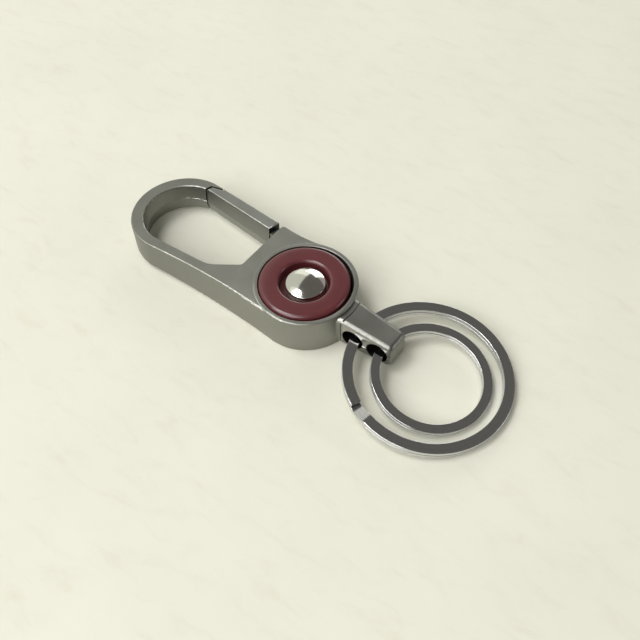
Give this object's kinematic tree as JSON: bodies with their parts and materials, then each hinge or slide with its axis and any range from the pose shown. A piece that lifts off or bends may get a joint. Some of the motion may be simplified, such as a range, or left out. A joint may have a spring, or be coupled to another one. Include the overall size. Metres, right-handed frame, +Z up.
{
  "type": "key holder",
  "caption": "Flat die-cast key holder with a sprung-gate hook, a round housing with a spinning ring, and a tail that carries nested split rings.",
  "frame": {"origin": "centre of the round housing, on the plane that its flat underside rests on", "axes": "+X from the housing along the tail to the split rings, +Y to the side of the gate, +Z up out of the housing's open face"},
  "size_m": [0.0959, 0.035, 0.0098],
  "materials": {
    "body_metal": "satin gunmetal plating over a zinc die casting",
    "gate_metal": "satin gunmetal plating over a zinc die casting",
    "pin_steel": "ground steel",
    "spring_steel": "rolled spring steel",
    "ring_colour": "satin maroon lacquer",
    "stud_chrome": "polished",
    "bush_plastic": "moulded, black",
    "washer_plastic": "moulded, black",
    "split_ring_steel": "nickel-plated flat wire"
  },
  "bodies": {
    "frame": {"frame": "body_metal", "gate_pin": "pin_steel", "gate_spring": "spring_steel", "domed_stud": "stud_chrome", "bearing_bush": "bush_plastic", "thrust_washer": "washer_plastic"},
    "gate": {"gate": "gate_metal"},
    "spinner_ring": {"spinner_ring": "ring_colour"},
    "large_split_ring": {"large_split_ring": "split_ring_steel"},
    "small_split_ring": {"small_split_ring": "split_ring_steel"}
  },
  "joints": [
    {"name": "gate_hinge", "type": "hinge", "parent": "frame", "child": "gate", "pos_m": [-0.0123, 0.0085, 0.00455], "axis": [0, 0, 1], "range_deg": [0, 30], "stiffness_Nm_per_rad": 0.02, "springref_deg": -20.05, "deforming": ["gate_spring"]},
    {"name": "spinner_turn", "type": "hinge", "parent": "frame", "child": "spinner_ring", "pos_m": [-0.00019, -0.00015, 0.00455], "axis": [0, 0, 1], "continuous": true},
    {"name": "large_ring_swing", "type": "hinge", "parent": "frame", "child": "large_split_ring", "pos_m": [0.01465, 0, 0.00427], "axis": [0, 1, 0], "range_deg": [-170, 158]},
    {"name": "small_ring_swing", "type": "hinge", "parent": "frame", "child": "small_split_ring", "pos_m": [0.0205, 0, 0.00427], "axis": [0, 1, 0], "range_deg": [-146, 110]}
  ]
}
